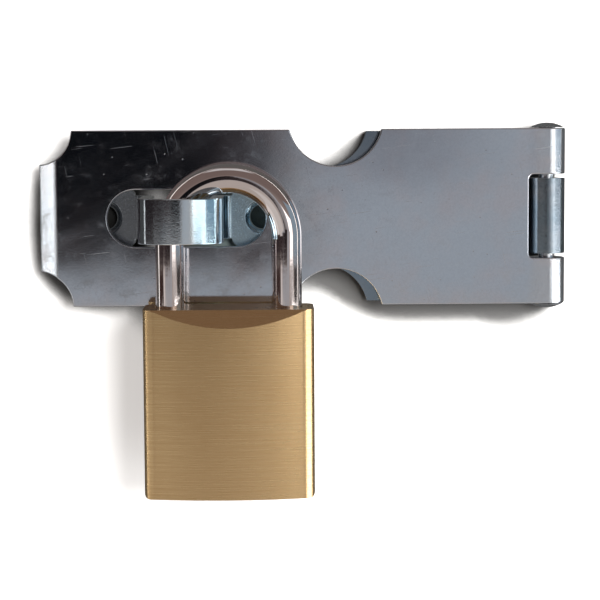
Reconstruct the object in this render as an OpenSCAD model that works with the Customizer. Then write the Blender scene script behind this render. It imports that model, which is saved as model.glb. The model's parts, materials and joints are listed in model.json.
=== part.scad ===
// Hinged hasp with its staple and a closed padlock, seen as it is on a door:
// X runs along the strap with the hinge at +X, Z is up and the front faces -Y.
// The wall is the plane y = 0, and a depth is a distance from the wall.
// The origin is the centre of the base leaf's screw pattern, on its back face.

/* [Strap] */
// Width of the strap
strap_w = 21.2; // [19:0.2:26]
// Thickness of the sheet of both leaves
sheet_t = 1.2; // [0.9:0.05:1.4]
// Radius of the scooped corners at the free edge
scoop_r = 4.1; // [2.5:0.1:5]
// Length of the bent lip, seen from the front
lip_run = 2.3; // [1.5:0.1:2.6]
// Bend of the lip towards the wall, in degrees
lip_angle = 42; // [20:1:45]
// Pin axis to the middle of the waist notches
waist_reach = 25.75; // [23:0.25:27]
// Radius of the waist notches
waist_r = 5.65; // [4:0.05:6.5]
// Width of the neck between the waist notches
neck_w = 12.4; // [10:0.2:15]
// Gap between the staple's foot and the bend of the lip
lip_gap = 0.75; // [0.4:0.05:4]
// Length of the slot
slot_l = 19.1; // [17:0.1:21]
// Height of the slot
slot_h = 6.9; // [6.5:0.1:9]

/* [Hinge] */
// Radius of the hinge pin
pin_r = 0.95; // [0.8:0.05:1.1]
// Running gap round the hinge pin
pin_gap = 0.05; // [0.03:0.01:0.09]
// Length of the middle knuckle
knuckle_l = 9.1; // [7:0.1:11]
// Gap between neighbouring knuckles
knuckle_gap = 0.5; // [0.2:0.05:0.8]
// Open part of each knuckle's roll, in degrees
roll_open = 70; // [66:1:85]
// Gap between a barrel and the edge of the other leaf
barrel_gap = 0.25; // [0.2:0.05:0.5]
// Radius of the pin's riveted heads
head_r = 2.1; // [1.6:0.05:2.3]
// Height of the pin's riveted heads
head_h = 0.6; // [0.4:0.05:0.9]
// Play of the heads along the pin
head_play = 0.06; // [0.03:0.01:0.15]

/* [Base leaf] */
// End of the base leaf's tongue past the middle of the waist
tongue_past = 1.65; // [0.8:0.05:2.5]
// Setback of the base leaf's long edges behind the strap's
leaf_inset = 0.25; // [0.1:0.05:1]
// Diameter of the circle through the screw holes
pattern_d = 15; // [13:0.2:15.4]
// Centre of the tongue's screw hole to the tongue's end
hole_margin = 6.4; // [4:0.1:7.5]
// Radius of a screw hole, the same in both plates
screw_r = 1.5; // [1.2:0.05:1.7]
// Radius of the base leaf's countersinks
leaf_sink_r = 2.5; // [2:0.05:2.6]

/* [Staple] */
// Thickness of the staple's strip
strip_t = 1.5; // [1.2:0.05:1.8]
// Width of the strip at the loop
strip_w = 5.3; // [4.4:0.1:6]
// Outer width of the loop along the strap
loop_w = 10; // [9.4:0.1:11]
// Centreline radius of the crowned top
crown_r = 7.5; // [6:0.25:14]
// Centreline radius of the loop's shoulders
shoulder_r = 2.5; // [1.6:0.1:3]
// Inner radius of the bends into the feet
foot_bend = 0.9; // [0.6:0.05:1.2]
// Distance between the staple's screw holes
staple_pitch = 19.2; // [18.6:0.1:20]
// Radius of the feet
foot_r = 4.75; // [4:0.05:5]
// Radius of the staple's countersinks
staple_sink_r = 2.1; // [1.8:0.05:2.3]
// Staple's centre left of the slot's centre
staple_shift = 0.45; // [0:0.05:0.6]
// Gap between the base leaf's tongue and the staple's foot
plate_gap = 2.45; // [0.5:0.05:6]

/* [Padlock body] */
// Brass between the hole of each leg and the cap beside it
cap_wall = 0.095; // [0.05:0.005:2]
// Height of the body
body_h = 22.2; // [21.8:0.2:28]
// Thickness of the body at its crowned middle
body_t = 10; // [9:0.1:11]
// Radius of the crowned front and back faces
face_r = 42; // [30:1:80]
// Radius of the body's upright corners
corner_r = 1.4; // [0.6:0.1:1.8]
// Radius of the body's lower corners, seen from the front
foot_corner_r = 0.6; // [0.3:0.1:1]
// Depth of the flat top
top_t = 8; // [7.6:0.1:8.6]
// Height of the sloping edge between the top and a face
slope_h = 2.1; // [1.4:0.1:2.6]
// Gap between the strap and the back of the body
back_gap = 0.3; // [0.2:0.05:0.6]

/* [Shackle] */
// Radius of the shackle's rod
rod_r = 1.75; // [1.4:0.05:1.9]
// Distance between the shackle's leg centres
leg_pitch = 13.75; // [13.4:0.05:14]
// Height of the shackle above the body
shackle_h = 16.9; // [15:0.1:20]
// Length of the toe inside the body
toe_l = 5; // [4.8:0.1:5.4]
// Shoulder of the heel below its neck
heel_shoulder = 1.35; // [0.8:0.05:2]
// Wall between the heel's hole and the plug's retainer pin
heel_wall = 1; // [0.6:0.1:3]
// Travel of the shackle when the lock opens
lift = 5.5; // [5.4:0.1:5.8]
// Running gap round the shackle's legs
leg_gap = 0.08; // [0.04:0.01:0.1]
// Gap between the toe leg and the side of the staple's loop
loop_gap = 0.45; // [0.3:0.05:0.8]
// Gap between the shackle's legs and the crown of the loop
crown_gap = 0.9; // [0.8:0.05:1.5]
// Gap under the bow where it hangs on the staple
hang_gap = 0.1; // [0.05:0.05:0.3]
// Radius of the heel's neck
neck_r = 0.95; // [0.7:0.05:1]

/* [Latch] */
// Radius of the latch bolt
latch_r = 1.25; // [1:0.05:1.3]
// Latch axis below the top of the body
latch_depth = 3; // [2.9:0.05:3.1]
// Travel of the latch, which is the throw of the plug's tail
latch_travel = 1.1; // [0.9:0.05:1.15]
// Depth of the toe's notch
notch_depth = 1.2; // [1.1:0.05:1.4]
// Thickness of the latch behind its slot
latch_back = 0.6; // [0.4:0.05:0.8]
// Wall between the latch's channel and the heel's hole
channel_wall = 0.6; // [0.4:0.05:0.8]

/* [Plug and pins] */
// Radius of the plug
plug_r = 3.25; // [3.1:0.05:3.4]
// Running gap of the plug, the latch and the pins
lock_gap = 0.05; // [0.03:0.01:0.08]
// Plug's shoulder below the top of the body
plug_depth = 6.6; // [6.4:0.1:6.8]
// Radius of the plug's tail
tail_r = 0.6; // [0.5:0.05:0.7]
// Radius of the key pins and driver pins
tumbler_r = 0.75; // [0.6:0.05:0.8]
// First pin below the top of the body
first_pin = 9.6; // [9.4:0.1:9.8]
// Last pin above the bottom of the body
last_pin = 3.9; // [3.6:0.1:4.4]
// Lengths of the key pins, from the top one down
key_pin_l = [1.5, 2.1, 1.7, 2.3];
// Length of the driver pins
driver_l = 2; // [1.6:0.1:2.6]
// Length of the caps and of the plugs in the drilled holes
cap_l = 1.2; // [1:0.05:1.25]
// Width of the keyway
keyway_w = 1.1; // [0.9:0.05:1.2]
// Height of the keyway across the plug
keyway_h = 4.9; // [4:0.1:5.2]
// Radius of both retainer pins
retainer_r = 0.6; // [0.4:0.05:0.65]
// Heel's retainer pin below the top of the body
heel_pin_depth = 5.5; // [5.3:0.1:5.6]
// Plug's retainer pin above the bottom of the body
plug_pin_height = 1.5; // [1.4:0.05:1.6]
// Depth of the plug's retaining groove
groove_depth = 0.55; // [0.4:0.05:0.7]

/* [Hidden] */
$fn = 96;

// A cut runs this far past the solid that it opens
past = 1;
// Steps along each arc of the staple's strip
arc_steps = 12;
// Pins in the lock
pin_count = len(key_pin_l);
// Clearance round a piece that only has to pass or turn
pass_gap = 0.25;
// Play between two faces that stop each other
stop_gap = 0.05;

// Hinge: both sheets are tangent to the barrel, the strap's in front
barrel_in = pin_r + pin_gap;
barrel_r = barrel_in + sheet_t;
strap_back = 2 * barrel_r - sheet_t;
strap_front = 2 * barrel_r;
leaf_reach = waist_reach + tongue_past;
pin_x = leaf_reach - hole_margin - pattern_d / 2;
waist_x = pin_x - waist_reach;
waist_z = neck_w / 2 + waist_r;
hinge_edge = pin_x - barrel_r - barrel_gap;
hinge_notch_h = knuckle_l + 2 * knuckle_gap;
notch_corner = 0.6;
leaf_w = strap_w - 2 * leaf_inset;
leaf_end = pin_x - leaf_reach;
leaf_scoop_z = waist_z - leaf_inset;

// Staple: the loop's centreline is two legs, two shoulders and a crown
foot_reach = staple_pitch / 2 + foot_r;
staple_x = leaf_end - plate_gap - foot_reach;
slot_x = staple_x + staple_shift;
strap_end = staple_x - foot_reach - lip_gap - lip_run;
leg_x = loop_w / 2 - strip_t / 2;
loop_in = loop_w / 2 - strip_t;
bend_x = loop_w / 2 + foot_bend;
bend_depth = strip_t + foot_bend;
shoulder_x = leg_x - shoulder_r;
crown_rise = sqrt(pow(crown_r - shoulder_r, 2) - pow(shoulder_x, 2));
crown_angle = atan2(crown_rise, shoulder_x);

// Padlock: the toe leg stands in the staple's loop, and the bow hangs on its side
pad_depth = strap_front + back_gap + body_t / 2;
crown_depth = pad_depth + rod_r + crown_gap + strip_t / 2;
crown_centre = crown_depth - crown_r;
shoulder_depth = crown_centre + crown_rise;
pad_x = staple_x - loop_in + loop_gap + rod_r + leg_pitch / 2;
bow_in = leg_pitch / 2 - rod_r;
bow_out = leg_pitch / 2 + rod_r;
hang_x = pad_x - (staple_x + loop_in);
bow_z = strip_w / 2 + hang_gap - sqrt(pow(bow_in, 2) - pow(hang_x, 2));
bow_rise = shackle_h - bow_out;
body_top = bow_z - bow_rise;

// Sizes inside the padlock, from its middle and its top
leg_hole_r = rod_r + leg_gap;
body_w = leg_pitch + 2 * (leg_hole_r + cap_wall + cap_l);
rod_chamfer = 0.5;
toe_hole = toe_l + 4 * pass_gap;
neck_top = heel_pin_depth - retainer_r - pass_gap;
neck_bottom = heel_pin_depth + retainer_r + lift + stop_gap;
heel_l = neck_bottom + heel_shoulder;
heel_hole = body_h - plug_pin_height - retainer_r - heel_wall;
spring_room = heel_hole - heel_l;
retainer_tip = leg_pitch / 2 + neck_r + pass_gap;
channel_r = latch_r + lock_gap;
channel_end = leg_pitch / 2 - leg_hole_r - channel_wall;
slot_half = tail_r + 1.4 * pass_gap;
latch_tip = -leg_pitch / 2 + leg_hole_r + 2 * stop_gap;
latch_end = latch_travel + slot_half + latch_back;
latch_ramp = 1.2 * latch_r;
tail_top = latch_depth + 2 * stop_gap;
cam_top = latch_depth - stop_gap;
cam_r = latch_travel + tail_r + pass_gap;
notch_half = latch_r + pass_gap;
plug_bore_r = plug_r + lock_gap;
chamber_r = tumbler_r + lock_gap;
pin_pitch = (body_h - last_pin - first_pin) / (pin_count - 1);
shear_in = sqrt(pow(plug_r, 2) - pow(tumbler_r, 2)) - stop_gap;
plug_pin_z = plug_pin_height - body_h;
plug_rim = 0.25;
plug_cap = 1.4;
groove_r = plug_r - groove_depth;
groove_half = retainer_r + 2 * stop_gap;
keyway_x = 0.15 - keyway_h / 2;
key_pin_tip = 0.4;
wire_r = 0.14;

// Draws an outline in X and Z, between two depths from the wall
module upright(near, far) {
    rotate([90, 0, 0])
        translate([0, 0, near])
            linear_extrude(far - near)
                children();
}

// Draws an outline in X and depth, between two heights
module level(low, high) {
    mirror([0, 1, 0])
        translate([0, 0, low])
            linear_extrude(high - low)
                children();
}

// Sector of a disc, used to keep or cut part of a ring
module sector(r, from, to) {
    polygon([[0, 0], for (i = [0:4]) let (a = from + (to - from) * i / 4) 2 * r * [cos(a), sin(a)]]);
}

// Points along an arc
function arc_points(centre, r, from, to) = [
    for (i = [0:arc_steps])
        let (a = from + (to - from) * i / arc_steps)
            centre + r * [cos(a), sin(a)]
];

// A rolled knuckle in X and depth, open beside the sheet that it is rolled from
module rolled_ring(from, to) {
    difference() {
        circle(barrel_r);
        circle(barrel_in);
        sector(barrel_r, from, to);
    }
}

// Core of the seam between a roll and a sheet with its back at a depth, inside both
module roll_seam(back) {
    translate([pin_x - sheet_t / 4, back + sheet_t / 4])
        square(sheet_t / 2);
}

// Hole with a countersink on the front of a plate
module screw_hole(x, z, front, sink_r) {
    sink = sink_r - screw_r;
    translate([x, 0, z])
        rotate([90, 0, 0]) {
            translate([0, 0, -past])
                cylinder(r = screw_r, h = front + 2 * past);
            translate([0, 0, front - sink])
                cylinder(r1 = screw_r, r2 = sink_r, h = sink);
            translate([0, 0, front])
                cylinder(r = sink_r, h = past);
        }
}

// Cylinder along X
module across(from, to, r) {
    translate([from, 0, 0])
        rotate([0, 90, 0])
            cylinder(r = r, h = to - from);
}

// Places what is drawn from the padlock's middle and top
module in_padlock() {
    translate([pad_x, -pad_depth, body_top])
        children();
}

// Height of one pin in the padlock, counted from the top one
module at_pin(i) {
    translate([0, 0, -first_pin - (i - 1) * pin_pitch])
        children();
}

// Ring of points round the wire of a coil
function wire_ring(r, wire, rise, a, sides) = [
    for (i = [0:sides - 1])
        let (b = 360 * i / sides, reach = r + wire * cos(b))
            [reach * cos(a), reach * sin(a), rise + wire * sin(b)]
];

// Coil spring along Z, from 0 to its length
module coil(r, wire, length, turns, steps = 14, sides = 6) {
    rings = turns * steps;
    climb = (length - 2 * wire) / rings;
    points = [for (k = [0:rings]) each wire_ring(r, wire, wire + climb * k, 360 * k / steps, sides)];
    walls = [
        for (k = [0:rings - 1], i = [0:sides - 1])
            let (a = k * sides + i, b = k * sides + (i + 1) % sides)
                each [[a, b, b + sides], [a, b + sides, a + sides]]
    ];
    first = [for (i = [0:sides - 1]) sides - 1 - i];
    last = [for (i = [0:sides - 1]) rings * sides + i];
    polyhedron(points, concat([first], walls, [last]), convexity = 10);
}

// Outline of a leaf with two round scoops cut at one place along it
module scooped(left, right, width, scoop_x, scoop_z, r) {
    difference() {
        translate([left, -width / 2])
            square([right - left, width]);
        for (side = [-1, 1])
            translate([scoop_x, side * scoop_z])
                circle(r);
    }
}

module base_leaf() {
    color([0.62, 0.68, 0.72])
    difference() {
        union() {
            upright(0, sheet_t) {
                scooped(leaf_end, hinge_edge, leaf_w, leaf_end, leaf_scoop_z, waist_r);
                translate([hinge_edge - past, -knuckle_l / 2])
                    square([pin_x - hinge_edge + past, knuckle_l]);
            }
            level(-knuckle_l / 2, knuckle_l / 2)
                translate([pin_x, barrel_r])
                    rolled_ring(-90, -90 - roll_open);
            level(-knuckle_l / 2, knuckle_l / 2)
                roll_seam(0);
        }
        for (i = [0:2])
            screw_hole(pattern_d / 2 * cos(180 + 120 * i), pattern_d / 2 * sin(180 + 120 * i),
                       sheet_t, leaf_sink_r);
    }
}

module hinge_pin() {
    half = strap_w / 2 + head_play;
    dome_r = (pow(head_r, 2) + pow(head_h, 2)) / (2 * head_h);
    color([0.72, 0.74, 0.76])
    translate([pin_x, -barrel_r, 0]) {
        translate([0, 0, -half])
            cylinder(r = pin_r, h = 2 * half);
        for (side = [0, 1])
            mirror([0, 0, side])
                intersection() {
                    translate([0, 0, half + head_h - dome_r])
                        sphere(dome_r);
                    translate([0, 0, half])
                        cylinder(r = head_r, h = head_h + past);
                }
    }
}

// Strap sheet in X and depth, from the knuckles to the end of the bent lip
module strap_section() {
    drop = lip_run * tan(lip_angle);
    bend = strap_end + lip_run;
    inner = bend + sheet_t * tan(lip_angle / 2);
    polygon([
        [pin_x, strap_back],
        [pin_x, strap_front],
        [bend, strap_front],
        [strap_end, strap_front - drop],
        [strap_end + sheet_t * sin(lip_angle), strap_front - drop - sheet_t * cos(lip_angle)],
        [inner, strap_back]
    ]);
}

// Strap seen from the front, with its waist, corners, slot and hinge notch
module strap_outline() {
    difference() {
        scooped(strap_end, pin_x, strap_w, waist_x, waist_z, waist_r);
        for (side = [-1, 1]) {
            translate([strap_end, side * strap_w / 2])
                circle(scoop_r);
            translate([slot_x + side * (slot_l - slot_h) / 2, 0])
                circle(slot_h / 2);
            translate([hinge_edge + notch_corner, side * (hinge_notch_h / 2 - notch_corner)])
                circle(notch_corner);
        }
        translate([slot_x - (slot_l - slot_h) / 2, -slot_h / 2])
            square([slot_l - slot_h, slot_h]);
        translate([hinge_edge + notch_corner, -hinge_notch_h / 2])
            square([pin_x, hinge_notch_h]);
        translate([hinge_edge, notch_corner - hinge_notch_h / 2])
            square([pin_x, hinge_notch_h - 2 * notch_corner]);
    }
}

module strap() {
    color([0.55, 0.58, 0.62]) {
        intersection() {
            level(-strap_w / 2 - past, strap_w / 2 + past)
                strap_section();
            upright(-past, strap_front + past)
                strap_outline();
        }
        for (side = [0, 1])
            mirror([0, 0, side]) {
                level(hinge_notch_h / 2, strap_w / 2)
                    translate([pin_x, barrel_r])
                        rolled_ring(90, 90 + roll_open);
                level(hinge_notch_h / 2, strap_w / 2)
                    roll_seam(strap_back);
            }
    }
}

// One face of the strip in X and depth, from the right foot to the crown's middle:
// side is 1 for the outer face and -1 for the inner one
function half_face(side) = concat(
    [[bend_x + foot_bend, side > 0 ? strip_t : 0]],
    arc_points([bend_x, bend_depth], foot_bend + (side > 0 ? 0 : strip_t), 270, 180),
    arc_points([shoulder_x, shoulder_depth], shoulder_r + side * strip_t / 2, 0, crown_angle),
    arc_points([0, crown_centre], crown_r + side * strip_t / 2, crown_angle, 90)
);

// Reverses a list of points and mirrors them in X
function mirrored(points) = [
    for (i = [len(points) - 1:-1:0]) [-points[i].x, points[i].y]
];

// The strip's loop between its feet, in X and depth
module loop_section() {
    outer = half_face(1);
    inner = half_face(-1);
    polygon(concat(outer, mirrored(outer), [for (p = inner) [-p.x, p.y]],
                   [for (i = [len(inner) - 1:-1:0]) inner[i]]));
}

// Feet of the staple seen from the front, outside the bends
module feet_outline() {
    hole_x = staple_pitch / 2;
    for (side = [0, 1])
        mirror([side, 0])
            intersection() {
                union() {
                    translate([hole_x, 0])
                        circle(foot_r);
                    translate([bend_x, -strip_w / 2])
                        square([hole_x - bend_x, strip_w]);
                }
                translate([bend_x, -foot_r])
                    square([hole_x + foot_r, 2 * foot_r]);
            }
}

module staple() {
    color([0.78, 0.8, 0.83])
    translate([staple_x, 0, 0])
        difference() {
            union() {
                level(-strip_w / 2, strip_w / 2)
                    loop_section();
                upright(0, strip_t)
                    feet_outline();
            }
            for (side = [-1, 1])
                screw_hole(side * staple_pitch / 2, 0, strip_t, staple_sink_r);
        }
}

// Half thickness of the body's crowned face at a distance from its middle
function face_at(x) = body_t / 2 - face_r + sqrt(pow(face_r, 2) - pow(x, 2));

// Body seen from above
module body_plan() {
    flat = body_w / 2 - corner_r;
    edge = face_at(flat);
    intersection() {
        intersection_for (side = [-1, 1])
            translate([0, side * (face_r - body_t / 2)])
                circle(face_r, $fn = 240);
        square([2 * flat, body_t + past], center = true);
    }
    square([body_w, 2 * (edge - corner_r)], center = true);
    for (x = [-1, 1], y = [-1, 1])
        translate([x * flat, y * (edge - corner_r)])
            circle(corner_r);
    square([2 * flat, 2 * edge], center = true);
}

// Body seen from the side, with the sloping edges at its top
module body_side() {
    polygon([
        [-body_t, -body_h], [body_t, -body_h],
        [body_t, -slope_h * (body_t - top_t / 2) / (body_t / 2 - top_t / 2)],
        [top_t / 2, 0], [-top_t / 2, 0],
        [-body_t, -slope_h * (body_t - top_t / 2) / (body_t / 2 - top_t / 2)]
    ]);
}

// Body seen from the front, with its rounded lower corners
module body_front() {
    inner = body_w - 2 * foot_corner_r;
    translate([-body_w / 2, foot_corner_r - body_h])
        square([body_w, body_h - foot_corner_r]);
    translate([-inner / 2, -body_h])
        square([inner, body_h]);
    for (side = [-1, 1])
        translate([side * inner / 2, foot_corner_r - body_h])
            circle(foot_corner_r);
}

module padlock_body() {
    color([0.72, 0.58, 0.36])
    in_padlock()
        difference() {
            intersection() {
                translate([0, 0, -body_h])
                    linear_extrude(body_h)
                        body_plan();
                rotate([90, 0, 90])
                    translate([0, 0, -body_w])
                        linear_extrude(2 * body_w)
                            body_side();
                upright(-body_t, body_t)
                    body_front();
            }
            // Legs of the shackle
            translate([-leg_pitch / 2, 0, -toe_hole])
                cylinder(r = leg_hole_r, h = toe_hole + past);
            translate([leg_pitch / 2, 0, -heel_hole])
                cylinder(r = leg_hole_r, h = heel_hole + past);
            // Latch channel, drilled from the toe's side, and the pocket of the plug's tail
            translate([0, 0, -latch_depth])
                across(-body_w / 2 - past, channel_end, channel_r);
            translate([0, 0, -plug_depth - past])
                cylinder(r = cam_r, h = plug_depth + past - cam_top);
            // Plug and its row of pin chambers
            translate([0, 0, -body_h - past])
                cylinder(r = plug_bore_r, h = body_h + past - plug_depth + lock_gap);
            for (i = [1:pin_count])
                at_pin(i)
                    across(-body_w / 2 - past, 0, chamber_r);
            // Retainer pins, from the heel's side
            translate([0, 0, -heel_pin_depth])
                across(leg_pitch / 2, body_w / 2 + past, retainer_r);
            translate([0, 0, plug_pin_z])
                across(0, body_w / 2 + past, retainer_r);
        }
}

// One straight leg of the shackle, down to a length inside the body, with a core into the bow
module shackle_leg(length) {
    translate([0, 0, rod_chamfer - length])
        cylinder(r = rod_r, h = length - rod_chamfer + bow_rise);
    translate([0, 0, bow_rise - rod_r / 2])
        cylinder(r = rod_r / 2, h = rod_r);
    translate([0, 0, -length])
        cylinder(r1 = rod_r - rod_chamfer, r2 = rod_r, h = rod_chamfer);
}

module shackle() {
    color([0.8, 0.76, 0.75])
    in_padlock()
        difference() {
            union() {
                translate([0, 0, bow_rise])
                    rotate([90, 0, 0])
                        intersection() {
                            rotate_extrude()
                                translate([leg_pitch / 2, 0])
                                    circle(rod_r);
                            translate([-body_w, 0, -body_w])
                                cube([2 * body_w, body_w, 2 * body_w]);
                        }
                translate([-leg_pitch / 2, 0, 0])
                    shackle_leg(toe_l);
                translate([leg_pitch / 2, 0, 0])
                    shackle_leg(heel_l);
            }
            // Latch notch on the toe's inner side
            translate([-leg_pitch / 2 + rod_r - notch_depth, -rod_r - past, -latch_depth - notch_half])
                cube([notch_depth + past, 2 * (rod_r + past), 2 * notch_half]);
            // Neck that the retainer pin runs in
            translate([leg_pitch / 2, 0, -neck_bottom])
                difference() {
                    cylinder(r = rod_r + past, h = neck_bottom - neck_top);
                    cylinder(r = neck_r, h = neck_bottom - neck_top);
                }
        }
}

// Keyway seen from below, with a ward on one side
module keyway() {
    translate([keyway_x, -keyway_w / 2])
        square([keyway_h, keyway_w]);
    translate([keyway_x + keyway_h / 2, -keyway_w])
        square([keyway_h / 5, keyway_w]);
}

module lock_plug() {
    length = body_h - plug_depth;
    color([0.8, 0.68, 0.4])
    in_padlock()
        difference() {
            union() {
                translate([0, 0, plug_rim - body_h])
                    cylinder(r = plug_r, h = length - plug_rim);
                translate([0, 0, -body_h])
                    cylinder(r1 = plug_r - plug_rim, r2 = plug_r, h = plug_rim);
                translate([latch_travel, 0, -plug_depth - plug_rim])
                    cylinder(r = tail_r, h = plug_depth + plug_rim - tail_top);
            }
            translate([0, 0, -body_h - past])
                linear_extrude(length - plug_cap + past)
                    keyway();
            for (i = [1:pin_count])
                at_pin(i)
                    across(-plug_r - past, -keyway_w, chamber_r);
            translate([0, 0, plug_pin_z - groove_half])
                difference() {
                    cylinder(r = plug_r + past, h = 2 * groove_half);
                    cylinder(r = groove_r, h = 2 * groove_half);
                }
        }
}

module latch_bolt() {
    color([0.7, 0.7, 0.68])
    in_padlock()
        translate([0, 0, -latch_depth])
            difference() {
                across(latch_tip, latch_end, latch_r);
                // Ramp that the closing toe pushes on
                upright(-2 * latch_r, 2 * latch_r)
                    polygon([[latch_tip - past, latch_r + past], [latch_tip - past, latch_r - latch_ramp - past],
                             [latch_tip + latch_ramp + past, latch_r + past]]);
                // Slot for the plug's tail
                translate([latch_travel - slot_half, -2 * latch_r, -2 * latch_r])
                    cube([2 * slot_half, 4 * latch_r, 2 * latch_r + lock_gap]);
            }
}

module latch_spring() {
    color([0.75, 0.76, 0.78])
    in_padlock()
        translate([latch_end, 0, -latch_depth])
            rotate([0, 90, 0])
                coil(latch_r - 2 * wire_r, wire_r, channel_end - latch_end, 4);
}

module latch_channel_cap() {
    color([0.72, 0.58, 0.36])
    in_padlock()
        translate([0, 0, -latch_depth])
            across(-body_w / 2, -body_w / 2 + cap_l, channel_r);
}

module shackle_spring() {
    color([0.75, 0.76, 0.78])
    in_padlock()
        translate([leg_pitch / 2, 0, -heel_hole])
            coil(rod_r - 3 * wire_r, 1.5 * wire_r, spring_room, 6);
}

module shackle_retainer_pin() {
    color([0.72, 0.58, 0.36])
    in_padlock()
        translate([0, 0, -heel_pin_depth])
            across(retainer_tip, body_w / 2, retainer_r);
}

module plug_retainer_pin() {
    color([0.72, 0.58, 0.36])
    in_padlock()
        translate([0, 0, plug_pin_z])
            across(groove_r + pass_gap, body_w / 2, retainer_r);
}

// Key pin, lifted to the shear line as by the key
module key_pin(i) {
    straight = key_pin_l[i - 1] - key_pin_tip;
    color([0.8, 0.68, 0.4])
    in_padlock()
        at_pin(i)
            translate([-shear_in, 0, 0])
                rotate([0, 90, 0]) {
                    cylinder(r = tumbler_r, h = straight);
                    translate([0, 0, straight])
                        cylinder(r1 = tumbler_r, r2 = tumbler_r / 2, h = key_pin_tip);
                }
}

module driver_pin(i) {
    start = -plug_bore_r - lock_gap - driver_l;
    color([0.7, 0.7, 0.68])
    in_padlock()
        at_pin(i)
            across(start, start + driver_l, tumbler_r);
}

module driver_spring(i) {
    start = -body_w / 2 + cap_l;
    length = -plug_bore_r - lock_gap - driver_l - start;
    color([0.75, 0.76, 0.78])
    in_padlock()
        at_pin(i)
            translate([start, 0, 0])
                rotate([0, 90, 0])
                    coil(tumbler_r - wire_r, 0.8 * wire_r, length, 5, steps = 10, sides = 5);
}

module chamber_cap(i) {
    color([0.72, 0.58, 0.36])
    in_padlock()
        at_pin(i)
            across(-body_w / 2, -body_w / 2 + cap_l, chamber_r);
}

base_leaf();
hinge_pin();
strap();
staple();
padlock_body();
shackle();
lock_plug();
latch_bolt();
latch_spring();
latch_channel_cap();
shackle_spring();
shackle_retainer_pin();
plug_retainer_pin();
key_pin(1);  // key_pin_1
key_pin(2);  // key_pin_2
key_pin(3);  // key_pin_3
key_pin(4);  // key_pin_4
driver_pin(1);  // driver_pin_1
driver_pin(2);  // driver_pin_2
driver_pin(3);  // driver_pin_3
driver_pin(4);  // driver_pin_4
driver_spring(1);  // driver_spring_1
driver_spring(2);  // driver_spring_2
driver_spring(3);  // driver_spring_3
driver_spring(4);  // driver_spring_4
chamber_cap(1);  // chamber_cap_1
chamber_cap(2);  // chamber_cap_2
chamber_cap(3);  // chamber_cap_3
chamber_cap(4);  // chamber_cap_4
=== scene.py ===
"""Studio picture of a zinc-plated hasp and staple closed by a small brass padlock."""

import math

import bpy
from mathutils import Matrix, Vector
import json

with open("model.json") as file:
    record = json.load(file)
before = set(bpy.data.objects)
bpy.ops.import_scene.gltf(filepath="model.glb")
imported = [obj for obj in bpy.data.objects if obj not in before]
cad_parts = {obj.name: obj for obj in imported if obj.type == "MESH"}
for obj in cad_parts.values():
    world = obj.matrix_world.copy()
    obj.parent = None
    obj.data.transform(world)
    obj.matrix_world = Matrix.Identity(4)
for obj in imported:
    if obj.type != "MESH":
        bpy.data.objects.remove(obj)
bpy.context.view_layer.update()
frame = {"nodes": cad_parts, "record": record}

MM = 0.001


# Shader node helpers

def add(tree, kind, inputs=None, **settings):
    """Adds a node. Inputs are values or the sockets that feed them."""
    node = tree.nodes.new(kind)
    for name, value in settings.items():
        setattr(node, name, value)
    for key, value in (inputs or {}).items():
        if isinstance(value, bpy.types.NodeSocket):
            tree.links.new(value, node.inputs[key])
        else:
            node.inputs[key].default_value = value
    return node


def calc(tree, operation, a, b=0.0, clamp=False):
    return add(tree, "ShaderNodeMath", {0: a, 1: b}, operation=operation, use_clamp=clamp).outputs[0]


def remap(tree, value, low, high, to_low=0.0, to_high=1.0):
    """Smooth step of a value from one range to another."""
    inputs = {"Value": value, "From Min": low, "From Max": high, "To Min": to_low, "To Max": to_high}
    return add(tree, "ShaderNodeMapRange", inputs, interpolation_type="SMOOTHSTEP").outputs["Result"]


def blend(tree, factor, a, b):
    return add(tree, "ShaderNodeMix", {0: factor, 6: a, 7: b}, data_type="RGBA").outputs[2]


def tint(tree, factor, a, b):
    return add(tree, "ShaderNodeMix", {0: factor, 6: a, 7: b}, data_type="RGBA",
               blend_type="MULTIPLY").outputs[2]


def millimetres(tree, stretch=(1.0, 1.0, 1.0), turn=(0.0, 0.0, 0.0)):
    """Place on the object in millimetres, stretched for patterns with a direction."""
    place = add(tree, "ShaderNodeTexCoord").outputs["Object"]
    scale = tuple(s / MM for s in stretch)
    turned = add(tree, "ShaderNodeMapping", {"Vector": place, "Rotation": turn}).outputs[0]
    return add(tree, "ShaderNodeMapping", {"Vector": turned, "Scale": scale}).outputs[0]


def noise(tree, place, scale, detail=3.0, roughness=0.5):
    inputs = {"Vector": place, "Scale": scale, "Detail": detail, "Roughness": roughness}
    return add(tree, "ShaderNodeTexNoise", inputs).outputs["Fac"]


def bump(tree, height, depth_mm, below=None):
    inputs = {"Height": height, "Distance": depth_mm * MM, "Strength": 1.0}
    if below is not None:
        inputs["Normal"] = below
    return add(tree, "ShaderNodeBump", inputs).outputs[0]


def scratches(tree, turn, density):
    """Sparse fine lines in one direction."""
    place = millimetres(tree, (0.16, 0.16, 7.0), (0.0, turn, 0.0))
    lines = noise(tree, place, 1.0, 2.0, 0.6)
    return remap(tree, lines, density, density + 0.05)


def new_material(name):
    material = bpy.data.materials.new(name)
    material.use_nodes = True
    tree = material.node_tree
    tree.nodes.clear()
    return material, tree


def metal(tree, colour, roughness, normal):
    inputs = {"Base Color": colour, "Metallic": 1.0, "Roughness": roughness, "Normal": normal}
    shader = add(tree, "ShaderNodeBsdfPrincipled", inputs)
    add(tree, "ShaderNodeOutputMaterial", {"Surface": shader.outputs[0]})


# Materials

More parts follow.
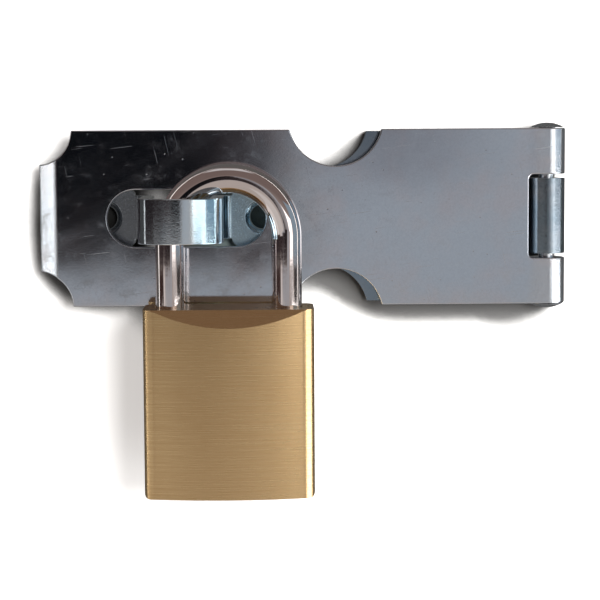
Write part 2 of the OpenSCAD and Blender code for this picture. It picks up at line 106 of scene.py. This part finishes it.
def zinc_sheet(name, colour, warm, roughness):
    """Bright zinc plating on pressed sheet: stains, finger marks, scratches, pits and a rougher roll."""
    material, tree = new_material(name)
    place = millimetres(tree)
    along = add(tree, "ShaderNodeSeparateXYZ", {0: place}).outputs[0]
    on_roll = remap(tree, along, 10.6, 12.6)
    on_lip = remap(tree, along, -46.4, -45.2, 1.0, 0.0)
    facing = add(tree, "ShaderNodeSeparateXYZ", {0: add(tree, "ShaderNodeTexCoord").outputs["Normal"]}).outputs[1]
    sheared = remap(tree, calc(tree, "ABSOLUTE", facing), 0.86, 0.98, 1.0, 0.0)
    flat = calc(tree, "SUBTRACT", 1.0, calc(tree, "MAXIMUM", on_roll, on_lip))
    on_edge = calc(tree, "MULTIPLY", sheared, flat)
    rolled = calc(tree, "ADD", calc(tree, "MULTIPLY", on_roll, 2.4),
                  calc(tree, "MULTIPLY", on_lip, 0.4))
    stains = noise(tree, place, 0.16, 5.0, 0.6)
    smear = noise(tree, millimetres(tree, (0.05, 0.1, 0.35), (0.0, 0.5, 0.0)), 1.0, 4.0, 0.6)
    touched = noise(tree, place, 0.5, 8.0, 0.72)
    grain = noise(tree, place, 4.0, 4.0, 0.7)
    lines = calc(tree, "MAXIMUM", scratches(tree, 0.12, 0.7), scratches(tree, -1.35, 0.72))
    spots = add(tree, "ShaderNodeTexVoronoi", {"Vector": place, "Scale": 0.6, "Randomness": 1.0})
    pits = remap(tree, spots.outputs["Distance"], 0.0, 0.07, 1.0, 0.0)
    body = blend(tree, remap(tree, stains, 0.4, 0.72), colour, warm)
    body = tint(tree, remap(tree, smear, 0.5, 0.8, 0.0, 0.14), body, (0.76, 0.8, 0.84, 1.0))
    body = tint(tree, calc(tree, "MULTIPLY", pits, 0.4), body, (0.4, 0.38, 0.36, 1.0))
    body = tint(tree, remap(tree, grain, 0.35, 0.7, 0.0, 0.16), body, (0.62, 0.64, 0.66, 1.0))
    haze = remap(tree, touched, 0.5, 0.8, 0.0, 0.09)
    rough = calc(tree, "ADD", remap(tree, smear, 0.35, 0.7, roughness, roughness + 0.025), haze)
    rough = calc(tree, "ADD", rough, calc(tree, "MULTIPLY", lines, 0.16))
    rough = calc(tree, "ADD", rough, calc(tree, "MULTIPLY", on_roll, 0.1))
    rough = calc(tree, "ADD", rough, calc(tree, "MULTIPLY", on_edge, 0.34))
    waves = bump(tree, noise(tree, place, 0.09, 2.0), 0.03)
    peel = calc(tree, "MULTIPLY", grain, calc(tree, "ADD", rolled, 0.1))
    fine = bump(tree, peel, 0.006, waves)
    marks = bump(tree, calc(tree, "ADD", calc(tree, "MULTIPLY", lines, -0.1),
                            calc(tree, "MULTIPLY", pits, -0.8)), 0.008, fine)
    metal(tree, body, rough, marks)
    return material


def zinc_strip():
    """Thicker plating on the bent strip: mottled on the loop and duller on the feet, with painted shade darkening
    its left side and a painted bluish reflection on its right side.
    """
    material, tree = new_material("zinc_strip")
    place = millimetres(tree)
    grain = noise(tree, place, 5.5, 3.0, 0.7)
    mottle = noise(tree, place, 0.9, 3.0, 0.55)
    depth = add(tree, "ShaderNodeSeparateXYZ", {0: place}).outputs[1]
    on_feet = remap(tree, depth, -2.4, -1.4)
    across = add(tree, "ShaderNodeSeparateXYZ", {0: place}).outputs[0]
    # Painted shade: the left side of the strip is darkened towards dark grey.
    painted_shade_left = remap(tree, across, -33.4, -31.6)
    bright = blend(tree, mottle, (0.78, 0.87, 0.92, 1.0), (0.86, 0.91, 0.94, 1.0))
    painted_blue_reflection = blend(tree, mottle, (0.44, 0.62, 0.74, 1.0), (0.6, 0.76, 0.84, 1.0))
    colour = blend(tree, painted_shade_left, (0.34, 0.37, 0.4, 1.0), bright)
    # Painted reflection: the right side of the strip is tinted blue.
    colour = blend(tree, remap(tree, across, -29.6, -28.6), colour, painted_blue_reflection)
    colour = tint(tree, remap(tree, grain, 0.6, 0.78, 0.0, 0.3), colour, (0.55, 0.58, 0.62, 1.0))
    loop_rough = remap(tree, grain, 0.35, 0.7, 0.06, 0.14)
    rough = calc(tree, "ADD", loop_rough, calc(tree, "MULTIPLY", on_feet, 0.14))
    normal = bump(tree, grain, 0.0055, bump(tree, mottle, 0.004))
    metal(tree, colour, rough, normal)
    return material


def rivet_steel():
    """Pin steel whose ends were hammered into domes."""
    material, tree = new_material("rivet_steel")
    place = millimetres(tree)
    dents = noise(tree, place, 1.4, 2.0)
    grain = noise(tree, place, 8.0, 2.0)
    colour = blend(tree, dents, (0.6, 0.64, 0.7, 1.0), (0.82, 0.84, 0.86, 1.0))
    normal = bump(tree, dents, 0.06, bump(tree, grain, 0.001))
    metal(tree, colour, remap(tree, grain, 0.3, 0.7, 0.2, 0.32), normal)
    return material


def plated_rod():
    """Polished plating on the shackle, with a warm cast and light rubbing marks."""
    material, tree = new_material("plated_rod")
    place = millimetres(tree)
    cloud = noise(tree, place, 0.5, 3.0)
    rubs = noise(tree, millimetres(tree, (6.0, 6.0, 0.3)), 1.0, 3.0)
    colour = blend(tree, cloud, (0.77, 0.695, 0.68, 1.0), (0.84, 0.765, 0.745, 1.0))
    rough = remap(tree, rubs, 0.4, 0.75, 0.03, 0.07)
    normal = bump(tree, rubs, 0.0006, bump(tree, cloud, 0.003))
    metal(tree, colour, rough, normal)
    return material


def body_brass():
    """Satin brass, brushed in level lines."""
    material, tree = new_material("body_brass")
    place = millimetres(tree)
    long_lines = noise(tree, millimetres(tree, (0.07, 0.07, 9.0)), 1.0, 4.0, 0.65)
    short_lines = noise(tree, millimetres(tree, (0.5, 0.5, 22.0)), 1.0, 3.0, 0.7)
    cloud = noise(tree, place, 0.12, 3.0)
    brushed = calc(tree, "ADD", calc(tree, "MULTIPLY", long_lines, 0.6),
                   calc(tree, "MULTIPLY", short_lines, 0.4))
    colour = blend(tree, remap(tree, brushed, 0.3, 0.7), (0.74, 0.49, 0.24, 1.0), (0.9, 0.65, 0.35, 1.0))
    colour = tint(tree, remap(tree, cloud, 0.45, 0.75, 0.0, 0.3), colour, (0.86, 0.8, 0.74, 1.0))
    rough = remap(tree, brushed, 0.3, 0.7, 0.34, 0.25)
    metal(tree, colour, rough, bump(tree, brushed, 0.0026))
    return material


def plug_brass():
    """Turned brass of the plug and the key pins."""
    material, tree = new_material("plug_brass")
    place = millimetres(tree)
    grain = noise(tree, place, 6.0, 3.0)
    tarnish = noise(tree, place, 0.6, 4.0)
    colour = blend(tree, tarnish, (0.62, 0.47, 0.25, 1.0), (0.85, 0.71, 0.42, 1.0))
    metal(tree, colour, remap(tree, grain, 0.3, 0.7, 0.24, 0.36), bump(tree, grain, 0.002))
    return material


def lock_steel():
    """Turned steel inside the lock, slightly oiled."""
    material, tree = new_material("lock_steel")
    place = millimetres(tree)
    rings = noise(tree, place, 7.0, 3.0)
    oil = noise(tree, place, 0.8, 3.0)
    colour = blend(tree, oil, (0.5, 0.48, 0.45, 1.0), (0.7, 0.7, 0.69, 1.0))
    metal(tree, colour, remap(tree, rings, 0.3, 0.7, 0.25, 0.4), bump(tree, rings, 0.002))
    return material


def spring_wire():
    """Drawn steel wire."""
    material, tree = new_material("spring_wire")
    place = millimetres(tree)
    drawn = noise(tree, place, 9.0, 2.0)
    colour = blend(tree, drawn, (0.55, 0.56, 0.58, 1.0), (0.74, 0.75, 0.76, 1.0))
    metal(tree, colour, remap(tree, drawn, 0.3, 0.7, 0.22, 0.34), bump(tree, drawn, 0.001))
    return material


def dress(materials):
    """Gives each node its material by its slot in the record."""
    slots = {part["node"]: part["material_slot"] for part in frame["record"]["subparts"]}
    for node, item in frame["nodes"].items():
        material = materials.get(node) or materials[slots[node]]
        item.data.materials.clear()
        item.data.materials.append(material)


# Small rounds on the sharp edges

EDGE_ROUND = {"strap": 0.16, "base_leaf": 0.14, "staple": 0.18, "padlock_body": 0.14, "shackle": 0.05,
              "lock_plug": 0.04, "hinge_pin": 0.08, "latch_bolt": 0.04}
SHALLOWEST = {"padlock_body": 18.0}


def soften(item, width, shallowest):
    for face in item.data.polygons:
        face.use_smooth = True
    weld = item.modifiers.new("weld", "WELD")
    weld.merge_threshold = 0.001 * MM
    flat = item.modifiers.new("flat", "DECIMATE")
    flat.decimate_type = "DISSOLVE"
    flat.angle_limit = math.radians(0.4)
    edge = item.modifiers.new("edge", "BEVEL")
    edge.width = width * MM
    edge.segments = 2
    edge.limit_method = "ANGLE"
    edge.angle_limit = math.radians(shallowest)
    edge.harden_normals = True
    shade = item.modifiers.new("shade", "WEIGHTED_NORMAL")
    shade.keep_sharp = True


# Surroundings

def direction(tree):
    """Azimuth from the front towards the right, and elevation, in degrees."""
    ray = add(tree, "ShaderNodeTexCoord").outputs["Generated"]
    axes = add(tree, "ShaderNodeSeparateXYZ", {0: ray}).outputs
    front = calc(tree, "MULTIPLY", axes[1], -1.0)
    azimuth = calc(tree, "DEGREES", calc(tree, "ARCTAN2", axes[0], front))
    elevation = calc(tree, "DEGREES", calc(tree, "ARCSINE", axes[2]))
    return azimuth, elevation


def card(tree, below, azimuth, elevation, across, height, soft, colour, strength):
    """Lays one card over the surroundings, with its own softness each way."""
    side, rise = soft
    left = remap(tree, azimuth, across[0] - side, across[0] + side)
    right = remap(tree, azimuth, across[1] - side, across[1] + side, 1.0, 0.0)
    low = remap(tree, elevation, height[0] - rise, height[0] + rise)
    high = remap(tree, elevation, height[1] - rise, height[1] + rise, 1.0, 0.0)
    mask = calc(tree, "MULTIPLY", calc(tree, "MULTIPLY", left, right), calc(tree, "MULTIPLY", low, high))
    bright = tuple(c * strength for c in colour) + (1.0,)
    return blend(tree, mask, below, bright)


def make_world():
    world = bpy.data.worlds.new("studio")
    bpy.context.scene.world = world
    world.use_nodes = True
    tree = world.node_tree
    tree.nodes.clear()
    azimuth, elevation = direction(tree)
    room = blend(tree, remap(tree, elevation, -20.0, 30.0), (0.46, 0.425, 0.4, 1.0), (0.18, 0.14, 0.13, 1.0))
    cards = [
        # across, height, softness across and up, colour, strength
        ((-70, 70), (66, 82), (8.0, 3.0), (0.97, 0.98, 1.0), 0.6),
        ((-120, 0.8), (-4.2, 14), (1.0, 0.5), (1.15, 0.87, 0.92), 0.03),
        ((-16, -1.5), (-3.3, 9), (1.2, 1.0), (0.8, 0.95, 1.2), 0.005),
        ((-120, -50), (-5.6, -4.2), (3.0, 0.25), (1.0, 0.58, 0.54), 0.04),
        ((-50, -37), (-5.6, -4.2), (2.0, 0.25), (1.0, 0.94, 0.92), 0.66),
        ((1.0, 15), (-5.0, 14), (1.2, 0.5), (0.95, 0.99, 1.06), 0.38),
        ((1.0, 6.0), (-1.4, 14), (2.0, 0.8), (0.97, 0.97, 1.06), 0.24),
        ((-36, 15), (-5.6, -4.3), (3.0, 0.25), (0.95, 0.99, 1.06), 0.38),
        ((50, 95), (-4.0, 25), (2.0, 0.4), (0.72, 0.97, 1.18), 0.34),
        ((56, 95), (-5.6, -4.1), (3.0, 0.25), (1.0, 0.9, 0.88), 0.05),
        ((19, 47), (-4.0, 9), (2.0, 0.5), (1.0, 0.99, 0.98), 1.9),
        ((25, 50), (-5.6, -4.1), (2.0, 0.25), (1.0, 0.95, 0.93), 0.5),
        ((22, 35), (-40, -5.6), (3.0, 0.3), (1.0, 0.98, 0.96), 0.1),
        ((36, 110), (-40, -5.6), (2.0, 0.3), (1.0, 0.99, 0.97), 4.2),
        ((-60, -20), (-40, -5.6), (6.0, 0.3), (1.0, 0.97, 0.94), 0.6),
        ((-110, -60), (-40, -5.6), (4.0, 0.3), (1.0, 0.97, 0.94), 0.75),
    ]
    colour = room
    for across, height, soft, shade, strength in cards:
        colour = card(tree, colour, azimuth, elevation, across, height, soft, shade, strength)
    surroundings = add(tree, "ShaderNodeBackground", {"Color": colour, "Strength": 1.0})
    white = add(tree, "ShaderNodeBackground", {"Color": (1.0, 1.0, 1.0, 1.0), "Strength": 1.0})
    seen = add(tree, "ShaderNodeLightPath").outputs["Is Camera Ray"]
    both = add(tree, "ShaderNodeMixShader", {0: seen, 1: surroundings.outputs[0], 2: white.outputs[0]})
    add(tree, "ShaderNodeOutputWorld", {"Surface": both.outputs[0]})


def backdrop_paper():
    """White paper, clear from behind, with a painted shadow where the hasp covers it, painted shade behind the
    staple, and a glow in reflections dimmed near the hasp as painted shade.
    """
    material, tree = new_material("backdrop_paper")
    fibre = noise(tree, millimetres(tree), 0.8, 3.0)
    paper = blend(tree, fibre, (0.8, 0.8, 0.8, 1.0), (0.84, 0.84, 0.84, 1.0))
    to_lamp = add(tree, "ShaderNodeCombineXYZ", {0: 0.68, 1: -0.55, 2: 0.48}).outputs[0]
    covered = add(tree, "ShaderNodeAmbientOcclusion", {"Distance": 7.0 * MM, "Normal": to_lamp},
                  samples=32).outputs["AO"]
    axes = add(tree, "ShaderNodeSeparateXYZ", {0: millimetres(tree)}).outputs
    along = axes[0]
    # Painted shade behind the staple: the paper turns nearly black there, a little lighter to the right.
    beside = remap(tree, calc(tree, "ABSOLUTE", calc(tree, "ADD", along, 30.3)), 11.0, 12.0, 1.0, 0.0)
    level = remap(tree, calc(tree, "ABSOLUTE", axes[2]), 4.5, 5.5, 1.0, 0.0)
    painted_shade_behind_staple = calc(tree, "MULTIPLY", calc(tree, "MULTIPLY", beside, level),
                  remap(tree, covered, 0.93, 0.995, 1.0, 0.0))
    painted_hole_shade = blend(tree, remap(tree, along, -31.0, -30.0), (0.02, 0.02, 0.02, 1.0), (0.12, 0.15, 0.15, 1.0))
    # Painted shadow: the paper colour goes towards black where the hasp blocks the way to the lamp.
    painted_shadow = remap(tree, covered, 0.62, 0.85, 0.15, 1.0)
    shaded = blend(tree, painted_shadow, (0.0, 0.0, 0.0, 1.0), paper)
    matt = add(tree, "ShaderNodeBsdfDiffuse", {"Color": blend(tree, painted_shade_behind_staple, shaded, painted_hole_shade)})
    # For reflected rays the paper glows: dim within about 130 mm of the hasp as painted shade, bright farther out as
    # painted light.
    reflected_glow_strength = remap(tree, calc(tree, "ABSOLUTE", calc(tree, "ADD", along, 16.0)), 130.0, 200.0, 0.12, 2.5)
    dull = add(tree, "ShaderNodeEmission", {"Color": (1.0, 0.99, 0.97, 1.0), "Strength": reflected_glow_strength})
    # The camera-ray lift fades out in the same place, deepening the painted shadow.
    strength = remap(tree, covered, 0.62, 0.85, 0.0, 0.42)
    lift = add(tree, "ShaderNodeEmission", {"Color": (1.0, 0.98, 0.96, 1.0), "Strength": strength})
    ray = add(tree, "ShaderNodeLightPath").outputs
    lifted = add(tree, "ShaderNodeAddShader", {0: matt.outputs[0], 1: lift.outputs[0]})
    mirrored = add(tree, "ShaderNodeMixShader", {0: ray["Is Glossy Ray"], 1: matt.outputs[0], 2: dull.outputs[0]})
    front = add(tree, "ShaderNodeMixShader", {0: ray["Is Camera Ray"], 1: mirrored.outputs[0], 2: lifted.outputs[0]})
    clear = add(tree, "ShaderNodeBsdfTransparent")
    behind = add(tree, "ShaderNodeNewGeometry").outputs["Backfacing"]
    sides = add(tree, "ShaderNodeMixShader", {0: behind, 1: front.outputs[0], 2: clear.outputs[0]})
    add(tree, "ShaderNodeOutputMaterial", {"Surface": sides.outputs[0]})
    return material


def make_backdrop():
    """Upright sheet of paper just behind the hasp."""
    reach, gap = 1.2, 0.0002
    corners = [(-reach, gap, -reach), (reach, gap, -reach), (reach, gap, reach), (-reach, gap, reach)]
    mesh = bpy.data.meshes.new("backdrop")
    mesh.from_pydata(corners, [], [(0, 1, 2, 3)])
    sheet = bpy.data.objects.new("backdrop", mesh)
    bpy.context.scene.collection.objects.link(sheet)
    sheet.data.materials.append(backdrop_paper())


def make_key_light():
    """Large soft lamp from the upper right, which casts the shadow on the paper."""
    lamp = bpy.data.lights.new("key", "AREA")
    lamp.shape = "DISK"
    lamp.size = 0.3
    lamp.energy = 7.0
    lamp.color = (1.0, 0.99, 0.97)
    item = bpy.data.objects.new("key", lamp)
    bpy.context.scene.collection.objects.link(item)
    aim = Vector((-0.016, 0.0, -0.008))
    item.location = aim + Vector((0.27, -0.62, 0.13))
    item.rotation_mode = "QUATERNION"
    item.rotation_quaternion = (aim - item.location).to_track_quat("-Z", "Y")
    item.visible_glossy = False


def make_camera():
    """Camera placed as in the photograph, found by fitting the hasp's corners."""
    pan, tilt, roll = math.radians(-1.03), math.radians(5.2), math.radians(-0.33)
    distance, focal, sensor = 222.8 * MM, 1856.0, 36.0
    target = Vector((-16.66, -6.0, -9.81)) * MM
    look = Vector((-math.sin(pan) * math.cos(tilt), math.cos(pan) * math.cos(tilt), -math.sin(tilt)))
    right = Vector((math.cos(pan), math.sin(pan), 0.0))
    up = right.cross(look)
    rolled_right = math.cos(roll) * right + math.sin(roll) * up
    rolled_up = math.cos(roll) * up - math.sin(roll) * right
    lens = bpy.data.cameras.new("camera")
    lens.sensor_width = sensor
    lens.lens = focal * sensor / 600.0
    lens.clip_start = 0.01
    item = bpy.data.objects.new("camera", lens)
    bpy.context.scene.collection.objects.link(item)
    axes = Matrix((rolled_right, rolled_up, -look)).transposed()
    item.matrix_world = Matrix.Translation(target - distance * look) @ axes.to_4x4()
    bpy.context.scene.camera = item


# The picture

bpy.context.scene.view_settings.view_transform = "Standard"

dress({
    "zinc_sheet": zinc_sheet("zinc_sheet", (0.72, 0.77, 0.83, 1.0), (0.77, 0.75, 0.78, 1.0), 0.06),
    # The base leaf takes a darker copy of the same zinc: painted shade, as it lies in shadow behind the strap.
    "base_leaf": zinc_sheet("leaf_zinc_painted_shade", (0.3, 0.37, 0.43, 1.0), (0.4, 0.44, 0.48, 1.0), 0.08),
    "rivet_steel": rivet_steel(),
    "zinc_strip": zinc_strip(),
    "body_brass": body_brass(),
    "plated_rod": plated_rod(),
    "plug_brass": plug_brass(),
    "lock_steel": lock_steel(),
    "spring_wire": spring_wire(),
})
for name, width in EDGE_ROUND.items():
    soften(frame["nodes"][name], width, SHALLOWEST.get(name, 28.0))
make_world()
make_backdrop()
make_key_light()
make_camera()
